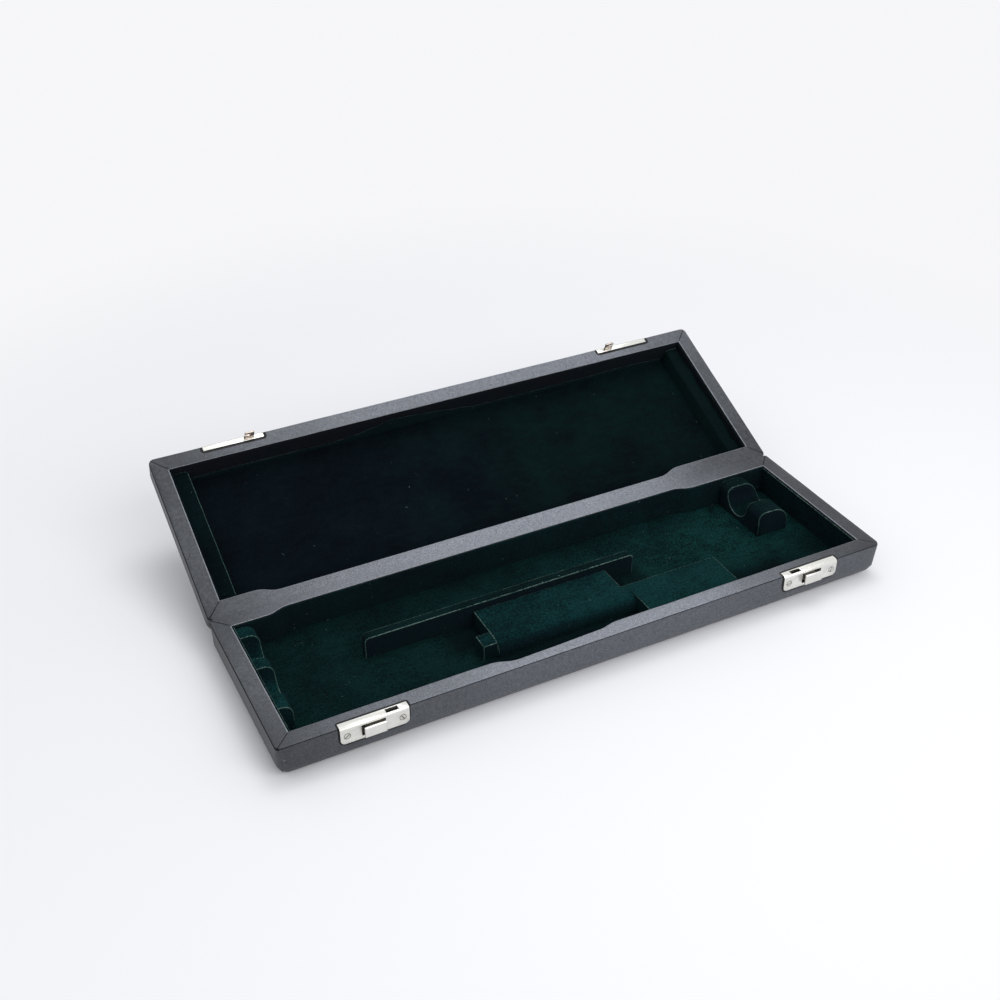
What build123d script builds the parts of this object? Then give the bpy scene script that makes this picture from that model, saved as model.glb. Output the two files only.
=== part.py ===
from build123d import *
from math import atan, degrees
import os

# A slim flute case: two shallow wooden trays under leather, joined by a leather
# hinge along the rear, lined with velvet, with two sliding latches at the front.
# Millimetres. X runs along the case, Y from the latches to the hinge, Z up.
# The origin is the middle of the underside. The lid stands open.

# ---- driving sizes of the case ----
case_length = 400.0
case_width = 120.0
base_height = 24.0        # underside to the plane where base and lid meet
lid_depth = 21.0          # that plane to the outside of the lid
lid_opening = 155.5       # degrees from closed to the hinge's limit
closing_gap = 0.3         # left between the two rims when closed
edge_round = 10.0         # rolled long edges of both trays
corner_round = 2.5        # upright corners

# ---- sheet stock ----
leather = 0.8             # outer skins and rim strips
lining = 0.8              # velvet on its backing
lid_panel_lining = 1.5    # padded
base_board_thick = 2.4
lid_board_thick = 1.2
seam = 0.3                # how far a rim strip stops short of the outer face

# ---- widths of the rims, seen from above ----
rim_side = 10.35
base_rim_front = 10.4
base_rim_rear = 11.0
lid_rim_front = 10.6
lid_rim_rear = 10.5
lining_drop = 1.25        # the wall lining ends this far under the rim

# ---- where the opening widens, measured from its left or right end ----
rear_relief_left = 20.6
rear_relief_right = 56.6
rear_relief_run = 16.5    # length of each S bend
rear_relief_depth = 3.8
front_relief_left = 117.6
front_relief_run_in = 18.0
front_relief_length = 52.0
front_relief_run_out = 14.5
front_relief_depth = (4.0, 2.5)   # at its left and its right

# ---- cradles that hold the body and the head joint, axes above the floor ----
tube_y = 28.1             # axis of the body tube, across the case
tube_rise = 13.7
tube_notch_r = 10.4
head_y = -3.2             # axis of the head joint
head_rise = 15.0
head_notch_r = 11.6
left_cradle_width_rear = 12.7
left_cradle_width_front = 9.2
left_cradle_front_y = -28.0
left_cradle_drop = 2.65   # its top under the rims
left_cradle_round = 6.5
right_cradle_gap = 11.55  # to the end wall
right_cradle_width = 23.5
right_cradle_front_y = 3.4
right_cradle_drop = 2.05
right_cradle_round_in = 4.5
right_cradle_round_out = 12.0

# ---- divider, key block and its nub: starts from the left wall, heights from the floor ----
divider_start = 65.65
divider_length = 182.5
divider_front_y = 7.8
divider_thick = 6.0
divider_height = 14.6
divider_round = 3.0
block_start = 135.55
block_length = 91.5
block_width = 34.2
block_height = 10.0
block_nose_round = 8.5
block_gap = 0.4           # between the block and the divider
wing_gap = 3.8            # step between the block's end and the wing
wing_length = 65.0        # the wing runs on to the front wall
wing_rear_y = -12.2
nub_length = 9.1
nub_width = 11.0
nub_step = 1.8            # in from the block's front face

# ---- pads at the ends of the lid ----
lid_left_pad_width = 11.1
lid_right_pad_width = 9.1
lid_pad_height = 11.8
lid_pad_round = 2.0

# ---- latches: sizes along X, seen on the left latch, + towards the middle ----
latch_inset = 54.9        # middle of each plate from the end of the case
plate_thick = 1.0
plate_length = 40.0
plate_face = 11.3         # height of the plate's front
plate_flange = 4.6        # its depth over the rim
plate_corner = 3.0
plate_bend = 2.0
recess_gap = 0.2          # leather round a plate or in a slot
screw_u = 16.1            # screws, each side of the middle
screw_drop = 6.4
screw_head_r = 1.95
screw_head_depth = 0.55
screw_shank_r = 0.9
screw_length = 7.5
screw_fit = 0.08
window_u = (-7.8, 6.2)
window_drop = (2.3, 9.6)
window_round = 0.6
button_u = (-6.0, 4.5)
button_drop = (3.75, 9.35)
button_proud = 2.7        # beyond the plate
button_round = 0.8
pocket_u = (-15.0, 15.0)
pocket_depth = 3.1        # behind the plate
pocket_drop = 10.2
case_fit = 0.1            # pocket to latch case
case_wall = 0.6
bolt_fit = 0.1            # bolt to plate
bolt_thick = 1.6
bolt_u = (-8.0, 6.3)
bolt_arm = 10.5           # width of the taller part that fills the window
bolt_drop = (4.4, 8.6)
nose_drop = (2.15, 3.65)
nose_reach = 2.7
spring_strip = 0.35
spring_height = 3.6
spring_bend = 0.7
slot_u = 10.7             # middle of the tongue's slot
slot_size = (7.2, 2.0)
slot_y = 1.4              # its middle, in from the outer face
tongue_wide = 6.4
tongue_thick = 1.2
tongue_reach = 5.2
tongue_notch = (1.95, 3.85, 3.6)   # from, to, depth
tongue_ramp = 1.1
tongue_foot = (9.0, 3.4, 1.0)
striker_face = 8.0
striker_screw_drop = 4.6

# ---- worked out ----
half_length = case_length / 2
half_width = case_width / 2
outer_face_y = -half_width
latch_x = half_length - latch_inset


class Tray:
    """Levels and outline of one half, lying on its back, front at -Y."""

    def __init__(self, height, board, floor_lining, rim_front, rim_rear, front_relief):
        self.height = height
        self.front_relief = front_relief
        self.board_top = leather + board
        self.floor = self.board_top + floor_lining
        self.rim_top = height - closing_gap / 2
        self.rail_top = self.rim_top - leather
        self.inner_x = half_length - rim_side
        self.front_y = -half_width + rim_front
        self.rear_y = half_width - rim_rear


base = Tray(base_height, base_board_thick, lining, base_rim_front, base_rim_rear, True)
lid = Tray(lid_depth, lid_board_thick, lid_panel_lining, lid_rim_front, lid_rim_rear, False)

wall_x = base.inner_x - lining
wall_front = base.front_y + lining
wall_rear = base.rear_y - lining
divider_x = (-wall_x + divider_start, -wall_x + divider_start + divider_length)
block_x = (-wall_x + block_start, -wall_x + block_start + block_length)
block_y = (divider_front_y - block_gap - block_width, divider_front_y - block_gap)
wing_x = (block_x[1] + wing_gap, block_x[1] + wing_gap + wing_length)
right_cradle_x = wall_x - right_cradle_gap - right_cradle_width


def block(x, y, z):
    """A box between two values on each axis."""
    size = [high - low for low, high in (x, y, z)]
    middle = [(high + low) / 2 for low, high in (x, y, z)]
    return Pos(*middle) * Box(*size)


def plan(points, z):
    """A straight-sided outline in plan, between two levels."""
    face = make_face(Polyline(*points, close=True))
    return Pos(0, 0, z[0]) * extrude(face, amount=z[1] - z[0])


def blank(tray, inset):
    """The full outer form of a tray, drawn in by a skin or not."""
    x = half_length - inset
    y = half_width - inset
    height = tray.height - inset
    radius = edge_round - inset
    body = Pos(0, 0, inset) * Box(2 * x, 2 * y, height, align=(Align.CENTER, Align.CENTER, Align.MIN))
    body = fillet(body.faces().sort_by(Axis.Z)[0].edges(), radius)
    outline = RectangleRounded(2 * x, 2 * y, corner_round - inset)
    upright = Pos(0, 0, inset) * extrude(outline, height)
    return body & upright


def s_bend(start, end):
    """Two arcs that leave and arrive along X."""
    middle = ((start[0] + end[0]) / 2, (start[1] + end[1]) / 2)
    run = 1 if end[0] > start[0] else -1
    first = TangentArc(start, middle, tangent=(run, 0))
    second = TangentArc(end, middle, tangent=(-run, 0))
    return [first, second]


def side_line(corner_x, y, out, bends, depth):
    """One long edge of the opening, left to right, with its widened middle.

    bends holds the x of the start, full depth, end of full depth and end."""
    start, full, full_end, end = bends
    left = (full, y + out * depth[0])
    right = (full_end, y + out * depth[1])
    edges = [Line((-corner_x, y), (start, y))]
    edges += s_bend((start, y), left)
    edges += [Line(left, right)]
    edges += s_bend(right, (end, y))
    edges += [Line((end, y), (corner_x, y))]
    return edges


def rear_bends(inner_x):
    start = -inner_x + rear_relief_left
    end = inner_x - rear_relief_right
    return start, start + rear_relief_run, end - rear_relief_run, end


def front_bends(inner_x):
    start = -inner_x + front_relief_left
    full = start + front_relief_run_in
    full_end = full + front_relief_length
    return start, full, full_end, full_end + front_relief_run_out


def opening(tray, inset=0.0):
    """Plan of a tray's opening, drawn in by the lining or not."""
    x = tray.inner_x - inset
    front = tray.front_y + inset
    rear = tray.rear_y - inset
    depth = (rear_relief_depth, rear_relief_depth)
    edges = side_line(x, rear, 1, rear_bends(tray.inner_x), depth)
    if tray.front_relief:
        edges += side_line(x, front, -1, front_bends(tray.inner_x), front_relief_depth)
    else:
        edges += [Line((-x, front), (x, front))]
    edges += [Line((-x, front), (-x, rear)), Line((x, front), (x, rear))]
    return make_face(edges)


def raise_face(face, low, high):
    return Pos(0, 0, low) * extrude(face, amount=high - low)


# ---- wooden shell ----

def board(tray):
    return blank(tray, leather) & block(
        (-half_length, half_length), (-half_width, half_width), (leather, tray.board_top)
    )


def rails(tray):
    """Front, rear, left and right rails, butted at the corners."""
    whole = (-half_length, half_length)
    levels = (tray.board_top, tray.rail_top)
    ring = blank(tray, leather) & block(whole, (-half_width, half_width), levels)
    ring -= raise_face(opening(tray), tray.board_top, tray.rail_top)
    between = (tray.front_y, tray.rear_y)
    front = ring & block(whole, (-half_width, tray.front_y), levels)
    rear = ring & block(whole, (tray.rear_y, half_width), levels)
    left = ring & block((-half_length, -tray.inner_x), between, levels)
    right = ring & block((tray.inner_x, half_length), between, levels)
    return front, rear, left, right


# ---- leather ----

def mitred(inner_x, front, rear, z):
    """Four plan regions that meet on the mitres: front, rear, left, right."""
    x, y = half_length, half_width
    front_zone = plan([(-x, -y), (x, -y), (inner_x, front), (-inner_x, front)], z)
    rear_zone = plan([(-x, y), (-inner_x, rear), (inner_x, rear), (x, y)], z)
    left_zone = plan([(-x, -y), (-inner_x, front), (-inner_x, rear), (-x, y)], z)
    right_zone = plan([(x, -y), (x, y), (inner_x, rear), (inner_x, front)], z)
    return front_zone, rear_zone, left_zone, right_zone


def skins(tray):
    """The sheet on the back of a tray, and the four that wrap its sides."""
    shell = blank(tray, 0) - blank(tray, leather)
    flat_x = half_length - edge_round
    flat_y = half_width - edge_round
    levels = (0, tray.rail_top)
    sheet = block((-flat_x, flat_x), (-flat_y, flat_y), (0, leather))
    sides = [shell & zone for zone in mitred(flat_x, -flat_y, flat_y, levels)]
    return sheet, sides


def rims(tray):
    """Flat strips on the rails, mitred at the corners: front, rear, left, right."""
    outer = RectangleRounded(case_length - 2 * seam, case_width - 2 * seam, corner_round - seam)
    strip = raise_face(outer - opening(tray), tray.rail_top, tray.rim_top)
    levels = (tray.rail_top, tray.rim_top)
    return [strip & zone for zone in mitred(tray.inner_x, tray.front_y, tray.rear_y, levels)]


# ---- velvet ----

def floor_lining(tray):
    return raise_face(opening(tray), tray.board_top, tray.floor)


def wall_lining(tray):
    band = opening(tray) - opening(tray, lining)
    return raise_face(band, tray.floor, tray.rim_top - lining_drop)


def notch(axis_y, rise, radius, x):
    """A round-bottomed cut along X, open upwards."""
    axis_z = base.floor + rise
    trough = Pos((x[0] + x[1]) / 2, axis_y, axis_z) * Rot(0, 90, 0) * Cylinder(radius, x[1] - x[0])
    above = block(x, (axis_y - radius, axis_y + radius), (axis_z, axis_z + 2 * radius))
    return trough + above


def left_cradle():
    """Stands on the end wall, narrower to the front, with two notches."""
    z = (base.floor, base.rim_top - left_cradle_drop)
    y = (left_cradle_front_y, wall_rear)
    widest = max(left_cradle_width_rear, left_cradle_width_front)
    long = block((-2 * widest, 0), (-case_width, case_width), z)
    upper = long.edges().filter_by(Axis.Y).group_by(Axis.Z)[-1].sort_by(Axis.X)[-1]
    long = fillet(upper, left_cradle_round)
    taper = (left_cradle_width_rear - left_cradle_width_front) / (y[1] - y[0])
    place = Pos(-wall_x + left_cradle_width_front, y[0], 0) * Rot(0, 0, -degrees(atan(taper)))
    body = place * long & block((-wall_x, -wall_x + 2 * widest), y, z)
    span = (-wall_x - 1, -wall_x + 2 * widest)
    body -= notch(tube_y, tube_rise, tube_notch_r, span)
    body -= notch(head_y, head_rise, head_notch_r, span)
    return body


def right_cradle():
    """Stands clear of the other end wall, with one notch for the body tube."""
    x = (right_cradle_x, right_cradle_x + right_cradle_width)
    z = (base.floor, base.rim_top - right_cradle_drop)
    body = block(x, (right_cradle_front_y, wall_rear), z)
    upper = body.edges().filter_by(Axis.Y).group_by(Axis.Z)[-1].sort_by(Axis.X)[0]
    body = fillet(upper, right_cradle_round_in)
    upper = body.edges().filter_by(Axis.Y).group_by(Axis.Z)[-1].sort_by(Axis.X)[-1]
    body = fillet(upper, right_cradle_round_out)
    return body - notch(tube_y, tube_rise, tube_notch_r, (x[0] - 1, x[1] + 1))


def divider():
    """A thin strip on edge, its two ends rounded at the top."""
    y = (divider_front_y, divider_front_y + divider_thick)
    strip = block(divider_x, y, (base.floor, base.floor + divider_height))
    ends = strip.edges().filter_by(Axis.Y).group_by(Axis.Z)[-1]
    return fillet(ends, divider_round)


def key_block():
    """An L in plan: a block beside the divider and a wing to the front wall."""
    front, rear = block_y
    outline = [
        (block_x[0], rear), (block_x[1], rear), (block_x[1], wing_rear_y),
        (wing_x[1], wing_rear_y), (wing_x[1], wall_front), (wing_x[0], wall_front),
        (wing_x[0], front), (block_x[0], front),
    ]
    body = plan(outline, (base.floor, base.floor + block_height))
    upper = body.edges().filter_by(Axis.X).group_by(Axis.Z)[-1]
    nose = [edge for edge in upper if abs(edge.center().Y - front) < 0.01]
    return fillet(nose, block_nose_round)


def key_block_nub():
    x = (block_x[0] - nub_length, block_x[0])
    y = (block_y[0] + nub_step, block_y[0] + nub_step + nub_width)
    return block(x, y, (base.floor, base.floor + block_height))


def lid_pad(side, width):
    """A soft strip across one end of the lid; side is -1 left, 1 right."""
    end = side * (lid.inner_x - lining)
    x = sorted((end, end - side * width))
    y = (lid.front_y + lining, lid.rear_y - lining)
    pad = block(x, y, (lid.floor, lid.floor + lid_pad_height))
    inner = pad.edges().filter_by(Axis.Y).group_by(Axis.Z)[-1].sort_by(Axis.X)
    return fillet(inner[-1] if side < 0 else inner[0], lid_pad_round)


# ---- latches, drawn about X = 0 as the left one, + towards the middle ----

def on_side(side, part):
    """Moves a part drawn about X = 0 to the left or mirrors it to the right."""
    if side < 0:
        return Pos(-latch_x, 0, 0) * part
    return Pos(latch_x, 0, 0) * mirror(part, Plane.YZ)


def angle_plate(rim_top, face_height):
    """A plate bent over the edge of a rim, its lower corners rounded."""
    front = outer_face_y - plate_thick
    x = (-plate_length / 2, plate_length / 2)
    solid = block(x, (front, front + plate_flange), (rim_top - face_height, rim_top))
    solid -= block(x, (outer_face_y, front + plate_flange),
                   (rim_top - face_height, rim_top - plate_thick))
    along = solid.edges().filter_by(Axis.X)
    bend = along.group_by(Axis.Z)[-1].sort_by(Axis.Y)[0]
    solid = fillet(bend, plate_bend)
    lower = solid.edges().filter_by(Axis.Y).group_by(Axis.Z)[0]
    return fillet(lower, plate_corner)


def round_bar(radius, u, z, depth):
    """A round bar along Y, between two depths from the front of a plate."""
    front = outer_face_y - plate_thick
    bar = Pos(u, front + sum(depth) / 2, z) * Rot(90, 0, 0)
    return bar * Cylinder(radius, depth[1] - depth[0])


def screw(u, z):
    """A flat-headed wood screw pointing in, its head flush with the plate."""
    head = round_bar(screw_head_r, u, z, (0, screw_head_depth))
    return head + round_bar(screw_shank_r, u, z, (0, screw_length))


def screw_seat(u, z):
    """The stepped hole for a screw in a plate."""
    head = round_bar(screw_head_r + screw_fit, u, z, (-1, screw_head_depth))
    return head + round_bar(screw_shank_r + screw_fit, u, z, (0, plate_thick + 1))


def pilot(u, z):
    """The hole for a screw's shank in the leather and the wood."""
    return round_bar(screw_shank_r + screw_fit, u, z, (0, screw_length))


def latch_plate():
    plate = angle_plate(base.rim_top, plate_face)
    front = outer_face_y - plate_thick
    low, high = base_height - window_drop[1], base_height - window_drop[0]
    window = block(window_u, (front - 1, outer_face_y + 1), (low, high))
    plate -= fillet(window.edges().filter_by(Axis.Y), window_round)
    plate -= tongue_slot(base.rim_top - plate_thick - 1, base.rim_top + 1)
    for u in (-screw_u, screw_u):
        plate -= screw_seat(u, base_height - screw_drop)
    return plate


def tongue_slot(low, high):
    x = (slot_u - slot_size[0] / 2, slot_u + slot_size[0] / 2)
    middle = outer_face_y + slot_y
    return block(x, (middle - slot_size[1] / 2, middle + slot_size[1] / 2), (low, high))


def latch_button():
    """The thumb piece, through the plate's window onto the bolt."""
    low, high = base_height - button_drop[1], base_height - button_drop[0]
    front = outer_face_y - plate_thick - button_proud
    body = block(button_u, (front, outer_face_y + bolt_fit), (low, high))
    return fillet(body.faces().sort_by(Axis.Y)[0].edges(), button_round)


def latch_bolt():
    """A bar behind the plate, taller where it fills the window; its nose holds the tongue."""
    y = (outer_face_y + bolt_fit, outer_face_y + bolt_fit + bolt_thick)
    bar_low, bar_high = base_height - bolt_drop[1], base_height - bolt_drop[0]
    nose_low, nose_high = base_height - nose_drop[1], base_height - nose_drop[0]
    bar = block(bolt_u, y, (bar_low, bar_high))
    arm = block((bolt_u[1] - bolt_arm, bolt_u[1]), y, (bar_low, nose_high))
    nose = block((bolt_u[1] - bolt_arm, bolt_u[1] + nose_reach), y, (nose_low, nose_high))
    solid = bar + arm + nose
    lip = solid.edges().filter_by(Axis.Y).group_by(Axis.X)[-1].sort_by(Axis.Z)[-1]
    return chamfer(lip, (nose_high - nose_low) / 2)


def latch_spring():
    """A strip bent to a V, between the bolt's end and the end of its pocket."""
    middle_z = base_height - (bolt_drop[0] + bolt_drop[1]) / 2
    open_y = outer_face_y + bolt_fit + spring_strip
    fold_y = outer_face_y + pocket_depth - case_fit - case_wall - spring_strip
    start_u = pocket_u[0] + case_fit + case_wall + spring_strip
    end_u = bolt_u[0] - spring_strip
    line = FilletPolyline((start_u, open_y), ((start_u + end_u) / 2, fold_y), (end_u, open_y),
                          radius=spring_bend)
    face = trace(line, spring_strip)
    return Pos(0, 0, middle_z - spring_height / 2) * extrude(face, amount=spring_height)


def latch_case():
    """A steel trough behind the plate, open to it and upwards, that keeps bolt and spring."""
    x = (pocket_u[0] + case_fit, pocket_u[1] - case_fit)
    y = (outer_face_y, outer_face_y + pocket_depth - case_fit)
    low = base_height - pocket_drop + case_fit
    high = base.rim_top - plate_thick
    inside = block((x[0] + case_wall, x[1] - case_wall), (y[0] - 1, y[1] - case_wall),
                   (low + case_wall, high + 1))
    return block(x, y, (low, high)) - inside


def latch_pocket():
    return block(pocket_u, (outer_face_y - 1, outer_face_y + pocket_depth),
                 (base_height - pocket_drop, base.rail_top + 1))


def plate_recess(rim_top):
    """Where rim strip and rail are cut away for a plate's flange."""
    half = plate_length / 2 + recess_gap
    rear = outer_face_y - plate_thick + plate_flange + recess_gap
    return block((-half, half), (outer_face_y - 1, rear), (rim_top - plate_thick, rim_top + 1))


def striker_plate():
    plate = angle_plate(lid.rim_top, striker_face)
    plate -= tongue_blade(recess_gap / 2)
    for u in (-screw_u, screw_u):
        plate -= screw_seat(u, lid_depth - striker_screw_drop)
    return plate


def tongue_blade(grow=0.0):
    """The upright part of the tongue, from under the plate to its tip."""
    half = tongue_wide / 2 + grow
    middle = outer_face_y + slot_y
    y = (middle - tongue_thick / 2 - grow, middle + tongue_thick / 2 + grow)
    low = lid.rim_top - plate_thick
    return block((slot_u - half, slot_u + half), y, (low, lid_depth + tongue_reach))


def striker_tongue():
    """A blade on a riveted foot, notched for the bolt, its tip ramped."""
    middle = outer_face_y + slot_y
    outer_u = slot_u - tongue_wide / 2
    start, end, depth = tongue_notch
    blade = tongue_blade()
    blade -= block((outer_u - 1, outer_u + depth), (middle - tongue_thick, middle + tongue_thick),
                   (lid_depth + start, lid_depth + end))
    tip = blade.edges().filter_by(Axis.Y).group_by(Axis.Z)[-1].sort_by(Axis.X)
    blade = chamfer(tip[0], tongue_ramp)
    return blade + foot_block(0.0)


def foot_block(grow):
    wide, deep, thick = tongue_foot
    middle = outer_face_y + slot_y
    front = middle - tongue_thick / 2 - grow
    top = lid.rim_top - plate_thick
    return block((slot_u - wide / 2 - grow, slot_u + wide / 2 + grow),
                 (front, front + deep + 2 * grow), (top - thick - grow, top + grow))


def screws(z):
    """The four screws of two plates, as one group."""
    return Compound(children=[on_side(side, screw(u, z))
                              for side in (-1, 1) for u in (-screw_u, screw_u)])


# ---- putting it together ----

def lid_in_place(part):
    """From the lid lying on its back, front at -Y, to the lid standing open."""
    about_hinge = Pos(0, half_width, -lid_depth) * mirror(part, Plane.XZ)
    return Pos(0, half_width, base_height) * Rot(180 - lid_opening, 0, 0) * about_hinge


def base_parts():
    front_rail, rear_rail, left_rail, right_rail = rails(base)
    sheet, (front_skin, rear_skin, left_skin, right_skin) = skins(base)
    front_rim, rear_rim, left_rim, right_rim = rims(base)
    for side in (-1, 1):
        pocket = on_side(side, latch_pocket())
        recess = on_side(side, plate_recess(base.rim_top))
        front_rail -= pocket + recess
        front_skin -= pocket + recess
        front_rim -= recess
        for u in (-screw_u, screw_u):
            hole = on_side(side, pilot(u, base_height - screw_drop))
            front_rail -= hole
            front_skin -= hole
    return {
        "base_board": board(base),
        "base_front_rail": front_rail,
        "base_rear_rail": rear_rail,
        "base_left_rail": left_rail,
        "base_right_rail": right_rail,
        "base_bottom_leather": sheet,
        "base_front_leather": front_skin,
        "base_rear_leather": rear_skin,
        "base_left_leather": left_skin,
        "base_right_leather": right_skin,
        "base_front_rim": front_rim,
        "base_hinge_leather": rear_rim,
        "base_left_rim": left_rim,
        "base_right_rim": right_rim,
        "base_floor_lining": floor_lining(base),
        "base_wall_lining": wall_lining(base),
        "left_cradle": left_cradle(),
        "right_cradle": right_cradle(),
        "divider": divider(),
        "key_block": key_block(),
        "key_block_nub": key_block_nub(),
    }


def lid_parts():
    front_rail, rear_rail, left_rail, right_rail = rails(lid)
    sheet, (front_skin, rear_skin, left_skin, right_skin) = skins(lid)
    front_rim, rear_rim, left_rim, right_rim = rims(lid)
    for side in (-1, 1):
        recess = on_side(side, foot_block(recess_gap / 2) + plate_recess(lid.rim_top))
        front_rail -= recess
        front_skin -= recess
        front_rim -= recess
        for u in (-screw_u, screw_u):
            hole = on_side(side, pilot(u, lid_depth - striker_screw_drop))
            front_rail -= hole
            front_skin -= hole
    flat = {
        "lid_board": board(lid),
        "lid_front_rail": front_rail,
        "lid_rear_rail": rear_rail,
        "lid_left_rail": left_rail,
        "lid_right_rail": right_rail,
        "lid_top_leather": sheet,
        "lid_front_leather": front_skin,
        "lid_rear_leather": rear_skin,
        "lid_left_leather": left_skin,
        "lid_right_leather": right_skin,
        "lid_front_rim": front_rim,
        "lid_hinge_leather": rear_rim,
        "lid_left_rim": left_rim,
        "lid_right_rim": right_rim,
        "lid_panel_lining": floor_lining(lid),
        "lid_wall_lining": wall_lining(lid),
        "lid_left_pad": lid_pad(-1, lid_left_pad_width),
        "lid_right_pad": lid_pad(1, lid_right_pad_width),
        "left_striker_plate": on_side(-1, striker_plate()),
        "right_striker_plate": on_side(1, striker_plate()),
        "left_striker_tongue": on_side(-1, striker_tongue()),
        "right_striker_tongue": on_side(1, striker_tongue()),
    }
    flat["striker_screws"] = screws(lid_depth - striker_screw_drop)
    return {name: lid_in_place(part) for name, part in flat.items()}


def latch_parts():
    parts = {}
    for side, word in ((-1, "left"), (1, "right")):
        parts[word + "_latch_plate"] = on_side(side, latch_plate())
        parts[word + "_latch_button"] = on_side(side, latch_button())
        parts[word + "_latch_bolt"] = on_side(side, latch_bolt())
        parts[word + "_latch_spring"] = on_side(side, latch_spring())
        parts[word + "_latch_case"] = on_side(side, latch_case())
    parts["latch_screws"] = screws(base_height - screw_drop)
    return parts


case = {**base_parts(), **lid_parts(), **latch_parts()}
os.makedirs("parts", exist_ok=True)
for node, shape in case.items():
    export_step(shape, f"parts/{node}.step")
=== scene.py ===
import math

import bmesh
import bpy
from mathutils import Matrix, Vector, noise


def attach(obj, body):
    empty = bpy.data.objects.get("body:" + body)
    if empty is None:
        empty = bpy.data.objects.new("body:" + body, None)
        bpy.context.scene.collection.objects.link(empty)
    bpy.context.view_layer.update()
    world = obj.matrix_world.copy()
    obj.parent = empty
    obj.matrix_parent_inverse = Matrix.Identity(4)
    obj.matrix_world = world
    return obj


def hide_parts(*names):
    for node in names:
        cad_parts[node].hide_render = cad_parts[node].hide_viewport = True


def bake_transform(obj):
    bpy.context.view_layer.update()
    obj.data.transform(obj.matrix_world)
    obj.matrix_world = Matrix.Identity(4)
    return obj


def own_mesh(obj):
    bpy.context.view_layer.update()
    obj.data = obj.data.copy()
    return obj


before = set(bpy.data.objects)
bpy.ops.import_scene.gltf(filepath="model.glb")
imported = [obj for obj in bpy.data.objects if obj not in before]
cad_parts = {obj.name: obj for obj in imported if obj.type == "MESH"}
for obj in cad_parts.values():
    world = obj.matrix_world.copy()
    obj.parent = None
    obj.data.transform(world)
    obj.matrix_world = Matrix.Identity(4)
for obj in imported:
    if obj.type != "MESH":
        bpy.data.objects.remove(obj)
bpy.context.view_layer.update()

# A slim flute case standing open on a pale table. Metres, in the frame of the solids:
# X along the case, Y from the latches to the hinge, Z up. The open lid slopes up behind the
# hinge line, so its pieces are placed by the distance from that line and the depth into it.

MM = 0.001
HINGE = Vector((0, 60, 24)) * MM
LID_SLOPE = math.radians(24.5)
LID_AWAY = Vector((0, math.cos(LID_SLOPE), math.sin(LID_SLOPE)))
LID_UP = Vector((0, -math.sin(LID_SLOPE), math.cos(LID_SLOPE)))
BASE_AWAY = Vector((0, -1, 0))
BASE_UP = Vector((0, 0, 1))
LENGTHWAYS = Vector((1, 0, 0))

# Sizes in millimetres. "Away" is measured from the hinge line across a tray, and "deep" down
# from its rim plane.
HALF_LENGTH = 200
WIDTH = 120
HALF_WIDTH = 60
SOLID_CORNER = 2.5      # the upright corners' radius in the solids
REAR_CORNER = 2.5       # their radius here: at the rim, rear and front, and at the foot
FRONT_CORNER = 3.6
FOOT_CORNER = 7.0
CORNER_CUTS = (7.1, 5.6, 4.2, 3.2)      # cuts that let a flat wall follow the corners

RIM_INNER_X = 190.3     # the side rims' inner edge, where the painted highlight along it starts
MITRE_START_X = 189.65  # the mitred seams at the corners of the rims run out from here,
MITRE_RUN_X = 10.35
MITRES = ((109.5, 10.5), (10.75, -10.75))       # each from its start away, by its run across
HIDE_ROLL = 0.36
LOW_SEAM = 1.9          # how far down the dark seam reaches on a wall's ends
SEAM_X = 198.5
BAND_TOP = (60.033, 23.85)      # Y and Z where the hinge band's halves meet, on top and below
BAND_UNDER = (60.206, 23.05)
BAND_END_FROM = 198
BAND_END_X = 199.07
LID_WALL = 108.6        # the lid's front velvet, away
LID_FLOOR = 17.5        # the lid's velvet panel, deep
LINING_CUT = 1.6        # the wall velvet is cut this far below its top edge,
LINING_RISE = 0.42      # which is tucked up under the rim by this much
LINING_LEAN = 0.5       # and off the end walls by this much
END_WALL_X = 188.6
# the base's wall velvet is pale between these X at its ends: wear and painted sheen
WEAR_AND_SHEEN_END = (188.1, 188.7)
BLOCK_ROLL = 0.45
BLOCK_WAVER = 0.14

LATCH_X = 145.1
PLATE_HALF = 20
LINE_BLUR = 0.25        # half the soft edge of the painted shadow lines round the plates
PLATE_FACE = -61.0
PLATE_FOOT_Z = -12.4    # the plates' lower edge, below the rim plane
PLATE_BACK = 116.4      # their inner edge on the rims, away
SCREW_U = 16.1
LATCH_SCREW_Z = 17.6
STRIKER_FACE = 121.0
STRIKER_SCREW_DEEP = 4.6
SLOT_U = 10.7
SLOT_HALF = 3.7
SLOT_Y = -58.6
SLOT_DEEP = 1.2
SLOT_REAR_WEAR = 0.5    # the tongue's slot is opened by this much at its rear side
SLOT_FRONT_WEAR = 0.3
HEAD_BACK = -61.25      # where a thumb piece's stem ends and its head starts
HEAD_FOOT_Z = 18
HEAD_RISE = 1.5
HEAD_OUTWARD = 1.0
HEAD_INWARD = 1.3
HEAD_PROUD = 0.5
STEM_SHORT = 0.55
SCREW_HEAD = 1.93
SCREW_SLOT_HALF = 0.24
SCREW_SLOT_DEEP = 0.32
SCREW_SHANK = 6.4
SCREW_TURNS = (37, -58, 12, 74)     # degrees

WORLD_LIGHT = 0.63      # what the white room gives as light; the camera sees it plain white
TABLE_MIDDLE = (0.02, 0.08, 0)      # metres; the paper fades into plain white round this point
TABLE_FADE = (0.26, 0.62)


def in_lid(x, far, deep):
    """A point of the open lid, from millimetres along, away from the hinge and down into it."""
    return HINGE + (Vector((x, 0, 0)) + LID_AWAY * far - LID_UP * deep) * MM


def tray_up(body):
    """Up out of a tray; the latches belong to the base."""
    return LID_UP if body == "lid" else BASE_UP


def tray_away(body):
    """Across a tray, from the hinge line to the latches."""
    return LID_AWAY if body == "lid" else BASE_AWAY


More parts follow.
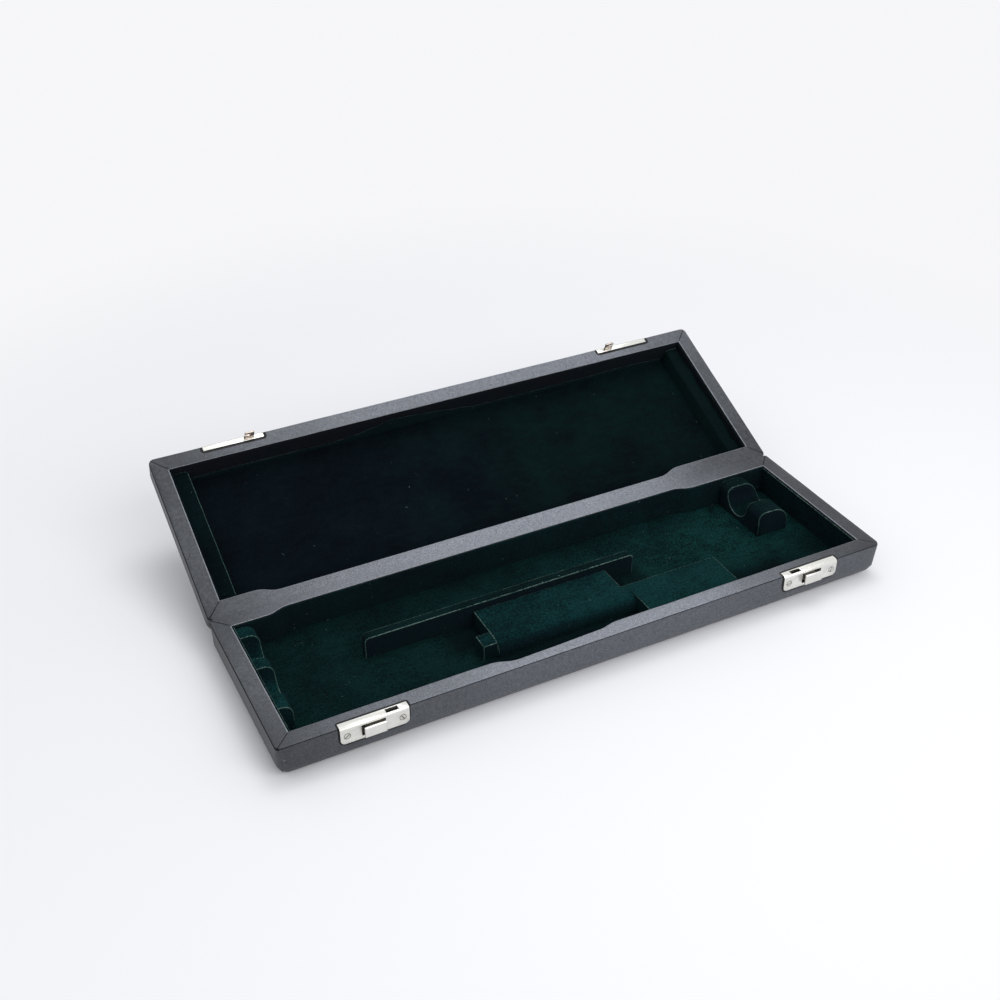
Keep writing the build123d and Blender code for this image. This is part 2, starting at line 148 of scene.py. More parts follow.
def depth(point, body):
    """Millimetres below the rim plane of a tray."""
    return -(point - HINGE).dot(tray_up(body)) / MM


def away(point, body):
    """Millimetres from the hinge line, across a tray."""
    return (point - HINGE).dot(tray_away(body)) / MM


# ---- camera, table and light ----

def set_camera():
    camera = bpy.data.objects.new("camera", bpy.data.cameras.new("camera"))
    bpy.context.scene.collection.objects.link(camera)
    camera.data.lens = 47.54
    camera.data.sensor_width = 36.0
    camera.location = (-0.32092, -0.55500, 0.51153)
    camera.rotation_euler = [math.radians(a) for a in (56.19773, 0.18742, -27.06950)]
    bpy.context.scene.camera = camera


def set_table():
    """White paper that keeps the case's shadow and runs out into plain white."""
    shape = bmesh.new()
    bmesh.ops.create_grid(shape, x_segments=1, y_segments=1, size=6)
    mesh = bpy.data.meshes.new("table")
    shape.to_mesh(mesh)
    shape.free()
    table = bpy.data.objects.new("table", mesh)
    bpy.context.scene.collection.objects.link(table)
    paper = bpy.data.materials.new("white_paper")
    paper.use_nodes = True
    tree = paper.node_tree
    surface = tree.nodes["Principled BSDF"]
    surface.inputs["Base Color"].default_value = (0.925, 0.928, 0.950, 1)
    surface.inputs["Roughness"].default_value = 0.9
    surface.inputs["Specular IOR Level"].default_value = 0.1
    plain = add(tree, "Emission", {"Color": (0.925, 0.925, 0.950, 1), "Strength": 1.0})
    here = add(tree, "TexCoord").outputs["Object"]
    middle = add(tree, "VectorMath", {0: here, 1: TABLE_MIDDLE}, operation="DISTANCE")
    far = ramp(tree, middle.outputs["Value"], *TABLE_FADE)
    seen = add(tree, "Mix", {0: seen_ray(tree), 2: 0.0, 3: far}, data_type="FLOAT").outputs[0]
    both = add(tree, "MixShader", {0: seen, 1: surface.outputs[0], 2: plain.outputs[0]})
    tree.links.new(both.outputs[0], tree.nodes["Material Output"].inputs["Surface"])
    table.data.materials.append(paper)


def softbox(name, place, aim, size, power):
    lamp = bpy.data.lights.new(name, "AREA")
    lamp.shape = "RECTANGLE"
    lamp.size, lamp.size_y = size
    lamp.energy = power
    holder = bpy.data.objects.new(name, lamp)
    bpy.context.scene.collection.objects.link(holder)
    holder.location = place
    holder.rotation_euler = (Vector(aim) - Vector(place)).to_track_quat("-Z", "Y").to_euler()


def seen_ray(tree):
    """1 for what the camera sees, straight or in a shiny surface."""
    path = add(tree, "LightPath").outputs
    shiny = math_node(tree, "MAXIMUM", path["Is Glossy Ray"], path["Is Transmission Ray"])
    return math_node(tree, "MAXIMUM", path["Is Camera Ray"], shiny)


def set_world():
    world = bpy.data.worlds.new("studio")
    bpy.context.scene.world = world
    world.use_nodes = True
    tree = world.node_tree
    back = tree.nodes["Background"]
    back.inputs["Color"].default_value = (0.97, 0.98, 1.0, 1)
    strength = add(tree, "Mix", {0: seen_ray(tree), 2: WORLD_LIGHT, 3: 1.0}, data_type="FLOAT")
    tree.links.new(strength.outputs[0], back.inputs["Strength"])


# ---- shader tools ----

def feed(tree, socket, value):
    """Links an input or sets it; a colour may leave out its alpha."""
    if isinstance(value, bpy.types.NodeSocket):
        tree.links.new(value, socket)
    elif socket.type == "RGBA" and len(value) == 3:
        socket.default_value = (*value, 1)
    else:
        socket.default_value = value


def add(tree, kind, values=(), **settings):
    """One shader node, with settings on it and numbers or links on its inputs."""
    made = tree.nodes.new("ShaderNode" + kind)
    for name, setting in settings.items():
        setattr(made, name, setting)
    for name, value in dict(values).items():
        feed(tree, made.inputs[name], value)
    return made


def effect(name, inputs, outputs):
    """A new node group with its named sockets, and the ends to wire it between."""
    group = bpy.data.node_groups.new(name, "ShaderNodeTree")
    for label, value in inputs.items():
        kind = "NodeSocketFloat" if isinstance(value, (int, float)) else "NodeSocketColor"
        socket = group.interface.new_socket(name=label, in_out="INPUT", socket_type=kind)
        socket.default_value = value if kind == "NodeSocketFloat" else (*value, 1)
    for label, kind in outputs.items():
        group.interface.new_socket(name=label, in_out="OUTPUT", socket_type="NodeSocket" + kind)
    return group, group.nodes.new("NodeGroupInput").outputs, group.nodes.new("NodeGroupOutput").inputs


def use(tree, group, values=()):
    """A group placed in a tree, with its own values."""
    made = tree.nodes.new("ShaderNodeGroup")
    made.node_tree = group
    for name, value in dict(values).items():
        feed(tree, made.inputs[name], value)
    return made.outputs


def mix(tree, part, a, b, blend="MIX"):
    """One colour over another by a mask."""
    made = add(tree, "Mix", {0: part, 6: a, 7: b}, data_type="RGBA", blend_type=blend)
    return made.outputs[2]


def math_node(tree, operation, a, b=0.0, c=0.0):
    return add(tree, "Math", {0: a, 1: b, 2: c}, operation=operation).outputs[0]


def times(tree, a, b):
    return math_node(tree, "MULTIPLY", a, b)


def plus(tree, a, b):
    return math_node(tree, "ADD", a, b)


def minus(tree, a, b):
    return math_node(tree, "SUBTRACT", a, b)


def scaled(tree, a, factor, offset):
    """a times factor, plus offset."""
    return math_node(tree, "MULTIPLY_ADD", a, factor, offset)


def ramp(tree, value, low, high):
    """0 at low, 1 at high, smoothly."""
    return add(
        tree, "MapRange", {"Value": value, "From Min": low, "From Max": high}, interpolation_type="SMOOTHSTEP"
    ).outputs[0]


def place_of(tree, stretch=(1, 1, 1)):
    """Object coordinates, stretched or not."""
    here = add(tree, "TexCoord").outputs["Object"]
    return add(tree, "Mapping", {"Vector": here, "Scale": stretch}).outputs[0]


def cloud(tree, here, scale, detail=2.0, roughness=0.5):
    return add(
        tree, "TexNoise", {"Vector": here, "Scale": scale, "Detail": detail, "Roughness": roughness}
    ).outputs["Fac"]


# ---- shared effects ----

def make_hide_grain():
    """Pebbled grain of split hide: pale tops, dark creases, slow changes of shade, and a painted highlight
    that falls off towards the ends.
    """
    tree, given, result = effect(
        "hide_grain",
        {"Shade": (0.06, 0.06, 0.07), "Crease": (0.03, 0.03, 0.035), "Pebbles": 1100.0, "Mottling": 0.3,
         "Left Highlight Falloff": 0.5, "Right Highlight Falloff": 0.5},
        {"Colour": "Color", "Height": "Float", "Gloss Loss": "Float"},
    )
    here = place_of(tree)
    pebble = add(
        tree, "TexVoronoi", {"Vector": here, "Scale": given["Pebbles"], "Randomness": 1.0},
        feature="DISTANCE_TO_EDGE",
    ).outputs["Distance"]
    tops = ramp(tree, pebble, 0.0, 0.22)
    fine = ramp(tree, cloud(tree, here, 1500, 3, 0.65), 0.32, 0.68)
    slow = ramp(tree, cloud(tree, here, 38, 3, 0.55), 0.3, 0.7)
    patch = ramp(tree, cloud(tree, here, 420, 2, 0.6), 0.25, 0.75)
    lift = times(tree, scaled(tree, tops, 0.5, 0.5), scaled(tree, fine, 0.48, 0.49))
    # Painted highlight: 1 in the middle along X, falling off towards both ends by the Left and Right
    # Highlight Falloff, sooner at the right on the lid's side of the hinge.
    apart = add(tree, "SeparateXYZ", {"Vector": here})
    along = scaled(tree, cloud(tree, here, 14, 2), 0.08, minus(tree, apart.outputs["X"], 0.04))
    over_hinge = math_node(tree, "MAXIMUM", minus(tree, apart.outputs["Y"], HINGE.y), 0.0)
    nearer = minus(tree, along, times(tree, over_hinge, 0.55))
    left = times(tree, ramp(tree, along, -0.03, -0.235), given["Left Highlight Falloff"])
    right = times(tree, ramp(tree, nearer, 0.06, 0.185), given["Right Highlight Falloff"])
    painted_highlight = minus(tree, 1.0, plus(tree, left, right))
    lift = times(tree, lift, times(tree, painted_highlight, scaled(tree, patch, 0.22, 0.89)))
    colour = mix(tree, lift, given["Crease"], given["Shade"])
    worn = times(tree, times(tree, slow, patch), given["Mottling"])
    pale = mix(tree, worn, colour, (0.20, 0.215, 0.24))
    tree.links.new(pale, result["Colour"])
    height = plus(tree, times(tree, tops, 0.6), times(tree, fine, 0.6))
    tree.links.new(height, result["Height"])
    loss = plus(tree, times(tree, patch, 0.06), times(tree, fine, 0.05))
    tree.links.new(loss, result["Gloss Loss"])
    return tree


def make_nap():
    """Cotton velvet pile: brushed patches and tufts, with painted shade on upright sides and painted light
    along X.
    """
    tree, given, result = effect(
        "nap",
        {"Deep": (0.003, 0.009, 0.010), "Lit": (0.006, 0.030, 0.030), "Side": (0.002, 0.005, 0.007),
         "Right": (0.006, 0.030, 0.030), "Brushed": 1.0, "Tufts": 0.5},
        {"Colour": "Color", "Height": "Float"},
    )
    here = place_of(tree)
    patches = ramp(tree, cloud(tree, here, 26, 4, 0.55), 0.32, 0.68)
    strokes = ramp(tree, cloud(tree, place_of(tree, (0.5, 1.0, 1.0)), 240, 3, 0.6), 0.3, 0.7)
    tuft = ramp(tree, cloud(tree, here, 950, 3, 0.75), 0.34, 0.66)
    brushed = times(tree, given["Brushed"], scaled(tree, strokes, 0.35, times(tree, patches, 0.65)))
    grainy = times(tree, minus(tree, tuft, 0.45), given["Tufts"])
    part = add(tree, "Math", {0: brushed, 1: grainy}, operation="ADD", use_clamp=True).outputs[0]
    # Painted light: along X the pile's tips go from the Lit tone to the Right tone, lighter or darker as the
    # light falls.
    along = add(tree, "SeparateXYZ", {"Vector": here}).outputs["X"]
    drift = scaled(tree, cloud(tree, here, 9, 2), 0.16, minus(tree, along, 0.08))
    lit = mix(tree, ramp(tree, drift, -0.10, 0.14), given["Lit"], given["Right"])
    pile = mix(tree, part, given["Deep"], lit)
    # Painted shade: upright faces take the Side tone, the pile's tips only where the surface faces up.
    upward = add(tree, "SeparateXYZ", {"Vector": add(tree, "TexCoord").outputs["Normal"]}).outputs["Z"]
    painted_side_shade = mix(tree, times(tree, part, 0.35), given["Side"], lit)
    tree.links.new(mix(tree, ramp(tree, upward, 0.45, 0.93), painted_side_shade, pile), result["Colour"])
    height = scaled(tree, strokes, 0.5, tuft)
    tree.links.new(height, result["Height"])
    return tree


def make_lint():
    """A few tiny pale fibres and crumbs on a colour."""
    tree, given, result = effect(
        "lint",
        {"Under": (0, 0, 0), "Lint": (0.16, 0.22, 0.21), "Spread": 240.0, "Share": 0.35},
        {"Colour": "Color"},
    )
    here = place_of(tree)
    noisy = add(tree, "TexNoise", {"Vector": here, "Scale": 900.0}).outputs["Color"]
    wobble = mix(tree, 0.004, here, noisy, "ADD")
    cell = add(tree, "TexVoronoi", {"Vector": wobble, "Scale": given["Spread"]}, feature="F1").outputs
    close = math_node(tree, "LESS_THAN", cell["Distance"], 0.075)
    chosen = add(tree, "SeparateColor", {"Color": cell["Color"]}).outputs
    kept = math_node(tree, "LESS_THAN", chosen[0], given["Share"])
    mask = times(tree, times(tree, close, kept), chosen[1])
    tree.links.new(mix(tree, mask, given["Under"], given["Lint"]), result["Colour"])
    return tree


def make_plating():
    """Satin nickel: faint cloudiness and fine rubbing marks."""
    tree, given, result = effect(
        "plating",
        {"Bright": (0.86, 0.85, 0.82), "Dull": (0.72, 0.70, 0.64), "Dullness": 0.3},
        {"Colour": "Color", "Height": "Float", "Gloss Loss": "Float"},
    )
    here = place_of(tree)
    clouds = ramp(tree, cloud(tree, here, 160, 4, 0.6), 0.35, 0.7)
    rubs = ramp(tree, cloud(tree, place_of(tree, (0.12, 1.0, 1.0)), 2400, 2, 0.6), 0.45, 0.75)
    part = times(tree, clouds, given["Dullness"])
    tree.links.new(mix(tree, part, given["Bright"], given["Dull"]), result["Colour"])
    tree.links.new(rubs, result["Height"])
    loss = scaled(tree, clouds, 0.10, times(tree, rubs, 0.06))
    tree.links.new(loss, result["Gloss Loss"])
    return tree


# ---- finishes ----

def finish(name, roughness=0.5, metallic=0.0, specular=0.5):
    """A new material, with its tree and its shader."""
    material = bpy.data.materials.new(name)
    material.use_nodes = True
    surface = material.node_tree.nodes["Principled BSDF"]
    surface.inputs["Roughness"].default_value = roughness
    surface.inputs["Metallic"].default_value = metallic
    surface.inputs["Specular IOR Level"].default_value = specular
    return material, material.node_tree, surface


def bumped(tree, surface, height, depth_m, strength=1.0):
    bump = add(tree, "Bump", {"Height": height, "Distance": depth_m, "Strength": strength})
    tree.links.new(bump.outputs[0], surface.inputs["Normal"])


def leather(name, tone, mottling, roughness, pebbles=1150, relief=0.00005, left=0.0, right=0.0):
    """Charcoal hide, a little blue; tone is its lightness where its painted highlight is full, and left and
    right how far that highlight falls off there.
    """
    shade = (0.93 * tone, 1.0 * tone, 1.14 * tone)
    crease = [0.06 * part for part in shade]
    material, tree, surface = finish(name, specular=0.2)
    grain = use(tree, HIDE_GRAIN, {
        "Shade": shade, "Crease": crease, "Pebbles": pebbles, "Mottling": mottling,
        "Left Highlight Falloff": left, "Right Highlight Falloff": right,
    })
    dusty = use(tree, LINT, {
        "Under": grain["Colour"], "Lint": (0.3, 0.31, 0.33), "Spread": 210.0, "Share": 0.2,
    })
    tree.links.new(dusty["Colour"], surface.inputs["Base Color"])
    tree.links.new(plus(tree, grain["Gloss Loss"], roughness), surface.inputs["Roughness"])
    bumped(tree, surface, grain["Height"], relief)
    return material


def let_in(material, way, edge, radius, width):
    """The same hide with a painted shadow line round each let-in plate, in its recess.

    The line is drawn in the plane of X and way, round a plate that starts at edge along way
    and has rounded corners.
    """
    cut = material.copy()
    cut.name = material.name + "_let_in"
    tree = cut.node_tree
    surface = tree.nodes["Principled BSDF"]
    here = place_of(tree)
    along = add(tree, "SeparateXYZ", {"Vector": here}).outputs["X"]
    aside = math_node(tree, "ABSOLUTE", minus(tree, math_node(tree, "ABSOLUTE", along), LATCH_X * MM))
    up_to = add(tree, "VectorMath", {0: here, 1: way}, operation="DOT_PRODUCT").outputs["Value"]
    over = math_node(tree, "MAXIMUM", minus(tree, aside, (PLATE_HALF - radius) * MM), 0.0)
    short = math_node(tree, "MAXIMUM", minus(tree, (edge + radius) * MM + HINGE.dot(way), up_to), 0.0)
    reach = math_node(tree, "SQRT", plus(tree, times(tree, over, over), times(tree, short, short)))
    # A painted shadow line in the recess round the plate, blended into the hide's colour.
    line = ramp(tree, reach, (radius + width + LINE_BLUR) * MM, (radius + width - LINE_BLUR) * MM)
    colour = surface.inputs["Base Color"].links[0].from_socket
    tree.links.new(mix(tree, line, colour, (0.006, 0.006, 0.007)), surface.inputs["Base Color"])
    return cut


def velvet(name, deep, lit, side, right, brushed=0.9, tufts=0.5, share=0.3):
    """Velvet by its tones: in the depth of the pile, on its tips, and as painted light and shade on upright
    sides and to the right.
    """
    material, tree, surface = finish(name, roughness=0.95, specular=0.02)
    surface.inputs["Sheen Weight"].default_value = 0.02
    surface.inputs["Sheen Roughness"].default_value = 0.4
    surface.inputs["Sheen Tint"].default_value = (0.30, 0.90, 0.85, 1)
    pile = use(tree, NAP, {
        "Deep": deep, "Lit": lit, "Side": side, "Right": right, "Brushed": brushed, "Tufts": tufts,
    })
    linty = use(tree, LINT, {"Under": pile["Colour"], "Share": share})
    tree.links.new(linty["Colour"], surface.inputs["Base Color"])
    bumped(tree, surface, pile["Height"], 0.0003)
    return material


def metal(name, bright, dull, dullness, roughness, relief=0.00001):
    """Plated or bare metal, a little clouded and rubbed."""
    material, tree, surface = finish(name, metallic=1.0)
    plated = use(tree, PLATING, {"Bright": bright, "Dull": dull, "Dullness": dullness})
    tree.links.new(plated["Colour"], surface.inputs["Base Color"])
    tree.links.new(plus(tree, plated["Gloss Loss"], roughness), surface.inputs["Roughness"])
    bumped(tree, surface, plated["Height"], relief)
    return material


def stained_wood():
    material, tree, surface = finish("stained_wood", roughness=0.7)
    rings = add(tree, "TexWave", {
        "Vector": place_of(tree, (0.05, 1, 1)), "Scale": 160.0, "Distortion": 4.0, "Detail": 3.0,
    }).outputs["Fac"]
    pores = cloud(tree, place_of(tree, (0.06, 1, 1)), 1400, 3, 0.6)
    streaked = mix(tree, rings, (0.020, 0.012, 0.007), (0.045, 0.028, 0.016))
    grained = mix(tree, ramp(tree, pores, 0.55, 0.7), streaked, (0.012, 0.008, 0.005))
    tree.links.new(grained, surface.inputs["Base Color"])
    bumped(tree, surface, pores, 0.0001)
    return material


HIDE_GRAIN = make_hide_grain()
NAP = make_nap()
LINT = make_lint()
PLATING = make_plating()

# The rims' and walls' left and right set how far their painted highlight falls off towards the ends.
RIM_LEATHER = leather("rim_hide", tone=0.430, mottling=0.20, roughness=0.34, left=0.92, right=0.93)
LID_RIM_LEATHER = leather("lid_rim_hide", tone=0.340, mottling=0.20, roughness=0.34, left=0.90, right=0.90)
WALL_LEATHER = leather(
    "wall_hide", tone=0.170, pebbles=1300, mottling=0.10, roughness=0.38, relief=0.00004,
    left=0.60, right=0.15,
)
LET_IN_RIM = let_in(RIM_LEATHER, BASE_AWAY, PLATE_BACK, radius=0.5, width=1.2)
LET_IN_LID_RIM = let_in(LID_RIM_LEATHER, LID_AWAY, PLATE_BACK, radius=0.5, width=1.9)
LET_IN_WALL = let_in(WALL_LEATHER, BASE_UP, PLATE_FOOT_Z, radius=4.0, width=1.0)
# Paler hide for the rims' inner edges: a painted highlight along them.
INNER_EDGE_HIGHLIGHT = leather("cut_edge_hide", tone=0.420, pebbles=1600, mottling=0.30, roughness=0.50)
SEAM_HIDE = leather("seam_hide", tone=0.006, pebbles=1600, mottling=0.0, roughness=0.60)
LINING = velvet(
    "lining_velvet", deep=(0.0016, 0.0056, 0.0070), lit=(0.0050, 0.0245, 0.0245),
    side=(0.0042, 0.0078, 0.0120), right=(0.0060, 0.042, 0.041), tufts=1.1,
)
LID_LINING = velvet(
    "lid_velvet", deep=(0.0024, 0.0034, 0.0062), lit=(0.0042, 0.0092, 0.0128),
    side=(0.0100, 0.0082, 0.0130), right=(0.0030, 0.0130, 0.0130), tufts=0.4, share=0.12,
)
LIP_VELVET = velvet(
    "turned_edge_velvet", deep=(0.0030, 0.0050, 0.0080), lit=(0.0045, 0.0110, 0.0140),
    side=(0.0042, 0.0100, 0.0130), right=(0.0036, 0.0120, 0.0130),
)
PAD_VELVET = velvet(
    "pad_velvet", deep=(0.0020, 0.0042, 0.0060), lit=(0.0030, 0.0100, 0.0120),
    side=(0.0026, 0.0050, 0.0070), right=(0.0034, 0.0100, 0.0110),
)
BLOCK_VELVET = velvet(
    "block_velvet", deep=(0.0020, 0.0100, 0.0120), lit=(0.0064, 0.040, 0.042),
    side=(0.0040, 0.0100, 0.0140), right=(0.0062, 0.037, 0.038), tufts=1.1,
)
SHADED_VELVET = velvet(
    "shaded_velvet", deep=(0.0018, 0.0060, 0.0072), lit=(0.0040, 0.0170, 0.0185),
    side=(0.0050, 0.0098, 0.0150), right=(0.0045, 0.0180, 0.0200), tufts=0.8,
)
SOFT_PAD_VELVET = velvet(
    "soft_pad_velvet", deep=(0.0022, 0.0058, 0.0070), lit=(0.0040, 0.0110, 0.0120),
    side=(0.0056, 0.0160, 0.0172), right=(0.0036, 0.0104, 0.0112), tufts=0.6,
)
# The lip's upper edge: painted sheen along the velvet's turned edge.
LIP_EDGE_SHEEN_VELVET = velvet(
    "dull_edge_velvet", deep=(0.006, 0.011, 0.013), lit=(0.034, 0.046, 0.045),
    side=(0.012, 0.018, 0.020), right=(0.022, 0.036, 0.036), brushed=1.0, tufts=1.4,
)
# Pale velvet: painted sheen of the pile along edges, where the pile is also worn open, and wear at the lid
# pads' front ends.
WEAR_AND_SHEEN_VELVET = velvet(
    "worn_velvet", deep=(0.010, 0.034, 0.032), lit=(0.150, 0.225, 0.200),
    side=(0.024, 0.066, 0.060), right=(0.150, 0.225, 0.200), brushed=1.0, tufts=1.7,
)
PLATE_NICKEL = metal("satin_nickel", (0.76, 0.755, 0.72), (0.66, 0.65, 0.59), 0.5, 0.24)
SCREW_NICKEL = metal("screw_nickel", (0.70, 0.69, 0.65), (0.52, 0.50, 0.45), 0.6, 0.26)
# Dark nickel: painted shade on the walls of the tongue slots and in the screw slots; also on the bolts and
# the screws' brims.
DARK_NICKEL = metal("dark_nickel", (0.13, 0.12, 0.11), (0.04, 0.037, 0.035), 0.8, 0.5)
WARM_NICKEL = metal("worn_nickel", (0.52, 0.45, 0.40), (0.24, 0.18, 0.145), 0.8, 0.30)
BARE_WOOD = stained_wood()
STEEL = metal("spring_steel", (0.20, 0.20, 0.20), (0.10, 0.10, 0.10), 0.7, 0.32, relief=0.00002)


# ---- mesh tools ----

def merged(*nodes):
    """A copy of solids' meshes, seams merged and flat faces whole."""
    shape = bmesh.new()
    for node in nodes:
        shape.from_mesh(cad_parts[node].data)
    bmesh.ops.remove_doubles(shape, verts=shape.verts, dist=1e-6)
    bmesh.ops.dissolve_limit(shape, angle_limit=math.radians(1), verts=shape.verts, edges=shape.edges)
    return shape


def ridges(shape, turn, wanted=lambda edge: True):
    """Outward edges that turn by more than an angle in degrees."""
    least = math.radians(turn)
    return [
        edge for edge in shape.edges
        if edge.is_manifold and edge.is_convex and edge.calc_face_angle() > least and wanted(edge)
    ]


def rolled(shape, edges, width, steps=2, clamp=True):
    """Rounds edges over, and gives the faces of the roll."""
    made = bmesh.ops.bevel(
        shape, geom=edges, offset=width * MM, offset_type="OFFSET", affect="EDGES",
        segments=steps, profile=0.5, material=-1, clamp_overlap=clamp,
    )
    return made["faces"]


def cut_across(shape, point, way):
    parts = shape.verts[:] + shape.edges[:] + shape.faces[:]
    bmesh.ops.bisect_plane(shape, geom=parts, dist=1e-7, plane_co=point, plane_no=way)


def sliced(shape, way, spacing):
    """Cuts a shape across every few millimetres, so that it can follow an uneven surface."""
    along = [vert.co.dot(way) for vert in shape.verts]
    low, high = min(along), max(along)
    count = int((high - low) / (spacing * MM))
    for step in range(1, count):
        cut_across(shape, way * (low + (high - low) * step / count), way)


def wavered(shape, amount, size, seed, wanted=lambda vert: True):
    """Moves points in and out by slow noise, in millimetres."""
    shape.normal_update()
    moves = [
        (vert, vert.normal * noise.noise(vert.co / (size * MM) + Vector((seed, seed, seed))) * amount * MM)
        for vert in shape.verts if wanted(vert)
    ]
    for vert, move in moves:
        vert.co += move


def corner_radius(deep, front):
    """Radius of a tray's upright corner: fullest at the foot."""
    part = min(max((deep - 5) / 15, 0), 1)
    least = FRONT_CORNER if front else REAR_CORNER
    return least + (FOOT_CORNER - least) * part * part * (3 - 2 * part)


def eased(shape, body):
    """Draws the upright corners of a tray in to their rounding."""
    way = tray_away(body)
    for reach in CORNER_CUTS:
        for side in (-1, 1):
            cut_across(shape, Vector((side * (HALF_LENGTH - reach), 0, 0)) * MM, LENGTHWAYS)
        for across in (reach, WIDTH - reach):
            cut_across(shape, HINGE + way * across * MM, way)
    for vert in shape.verts:
        along, across = vert.co.x / MM, away(vert.co, body) - HALF_WIDTH
        radius = corner_radius(depth(vert.co, body), across > 0)
        u, v = abs(along), abs(across)
        past_u, past_v = u - (HALF_LENGTH - SOLID_CORNER), v - (HALF_WIDTH - SOLID_CORNER)
        if past_u > 0 and past_v > 0:
            within = SOLID_CORNER - math.hypot(past_u, past_v)
        else:
            within = min(HALF_LENGTH - u, HALF_WIDTH - v)
        du, dv = u - HALF_LENGTH + radius, v - HALF_WIDTH + radius
        reach = math.hypot(du, dv)
        if du > 0 and dv > 0 and reach > radius - within > 0:
            drawn = 1 - (radius - within) / reach
            vert.co.x -= math.copysign(du, along) * drawn * MM
            vert.co -= way * math.copysign(dv, across) * drawn * MM


def piece(name, shape, body, nodes, finishes, crease=38):
    """A finished piece that rides on a body and stands for solids."""
    bmesh.ops.recalc_face_normals(shape, faces=shape.faces)
    mesh = bpy.data.meshes.new(name)
    shape.to_mesh(mesh)
    shape.free()
    mesh.shade_smooth()
    mesh.set_sharp_from_angle(angle=math.radians(crease))
    made = bpy.data.objects.new(name, mesh)
    bpy.context.scene.collection.objects.link(made)
    for material in finishes:
        mesh.materials.append(material)
    if body:
        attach(made, body)
    if nodes:
        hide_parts(*nodes)
    return made


# ---- leather ----

def mark_hide(strip, rolls, body_of):
    """Gives inner edges a painted highlight, and seams and upright sides their dark line."""
    strip.normal_update()
    for face in strip.faces:
        body = body_of(face.calc_center_median())
        if abs(face.normal.dot(tray_up(body))) < 0.3:
            face.material_index = 2
    for face in rolls:
        middle = face.calc_center_median()
        body = body_of(middle)
        across, side = away(middle, body), abs(middle.x) / MM
        corner = (side - MITRE_START_X) / MITRE_RUN_X
        seams = [abs(across - start - run * corner) for start, run in MITRES]
        if side > 189.9 and min(seams) < 0.5:
            face.material_index = 2
        # the rolls along the inner edges take the painted highlight
        elif side < 190.2 and 5 < across < 114.5:
            face.material_index = 1


def make_rim(node, body, way):
    """A strip of hide turned over the top of one side, soft along its edges."""
    strip = merged(node)
    upper = ridges(strip, 50, lambda edge: all(depth(v.co, body) < 0.3 for v in edge.verts))
    mark_hide(strip, rolled(strip, upper, HIDE_ROLL), lambda point: body)
    # on the side rims the painted highlight reaches onto the flat top beside the inner edge
    if "front" not in node:
        for side in (-1, 1):
            cut_across(strip, Vector((side * RIM_INNER_X, 0, 0)) * MM, LENGTHWAYS)
        for face in strip.faces:
            middle = face.calc_center_median()
            if abs(middle.x) < RIM_INNER_X * MM and depth(middle, body) < 0.4:
                face.material_index = 1
    sliced(strip, way, 5)
    wavered(strip, 0.12, 16, len(node), lambda vert: depth(vert.co, body) < 0.5)
    eased(strip, body)
    hides = {"base_front_rim": LET_IN_RIM, "lid_front_rim": LET_IN_LID_RIM}
    hide = hides.get(node, LID_RIM_LEATHER if body == "lid" else RIM_LEATHER)
    return piece(node + "_hide", strip, body, [node], [hide, INNER_EDGE_HIGHLIGHT, SEAM_HIDE])


def make_wall(node, body):
    """Hide glued on one side and rolled under it, with the rim's seam dark above its ends."""
    skin = merged(node)
    rolled(skin, ridges(skin, 50, lambda edge: all(depth(v.co, body) < 1.1 for v in edge.verts)), 0.3)
    up = tray_up(body)
    cut_across(skin, HINGE - up * LOW_SEAM * MM, up)
    for face in skin.faces:
        middle = face.calc_center_median()
        if abs(middle.x) > SEAM_X * MM and depth(middle, body) < LOW_SEAM:
            face.material_index = 1
    eased(skin, body)
    hide = LET_IN_WALL if node == "base_front_leather" else WALL_LEATHER
    return piece(node + "_hide", skin, body, [node], [hide, SEAM_HIDE])


def make_under(node, body):
    """The sheet of hide across the bottom or the top."""
    sheet = merged(node)
    rolled(sheet, ridges(sheet, 50), 0.25)
    sliced(sheet, LENGTHWAYS, 12)
    eased(sheet, body)
    return piece(node + "_hide", sheet, body, [node], [WALL_LEATHER])


def make_wood(node, body):
    """A rail or board of stained wood under the hide."""
    rail = merged(node)
    eased(rail, body)
    return piece(node + "_wood", rail, body, [node], [BARE_WOOD])


def make_hinge_band():
    """One band of hide across both rear rims, easing over the hinge line."""
    band = merged("base_hinge_leather", "lid_hinge_leather")

    def half(point):
        return "base" if point.y < 60.05 * MM else "lid"

    def at_butt(vert):
        return away(vert.co, half(vert.co)) < 0.31

    butts = [face for face in band.faces if all(at_butt(vert) for vert in face.verts)]
    bmesh.ops.delete(band, geom=butts, context="FACES")
    for vert in band.verts:
        if at_butt(vert):
            y, z = BAND_TOP if depth(vert.co, half(vert.co)) < 0.5 else BAND_UNDER
            side = vert.co.x
            if abs(side) > BAND_END_FROM * MM:
                side = math.copysign(BAND_END_X * MM, side)
            vert.co = Vector((side, y * MM, z * MM))
    bmesh.ops.remove_doubles(band, verts=band.verts, dist=2e-5)
    sliced(band, LENGTHWAYS, 5)
    valley = [
        edge for edge in band.edges
        if all(abs(v.co.y - BAND_TOP[0] * MM) < 1e-6 and v.co.z > 23.5 * MM for v in edge.verts)
        and abs(edge.verts[0].co.x - edge.verts[1].co.x) > 0.5 * MM
    ]
    rolled(band, valley, 5.2, 6)
    outer = ridges(band, 50, lambda edge: all(depth(v.co, half(v.co)) < 0.3 for v in edge.verts))
    mark_hide(band, rolled(band, outer, HIDE_ROLL, clamp=False), half)
    made = piece(
        "hinge_band", band, None, ["base_hinge_leather", "lid_hinge_leather"],
        [RIM_LEATHER, INNER_EDGE_HIGHLIGHT, SEAM_HIDE],
    )
    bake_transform(made)


# ---- velvet ----

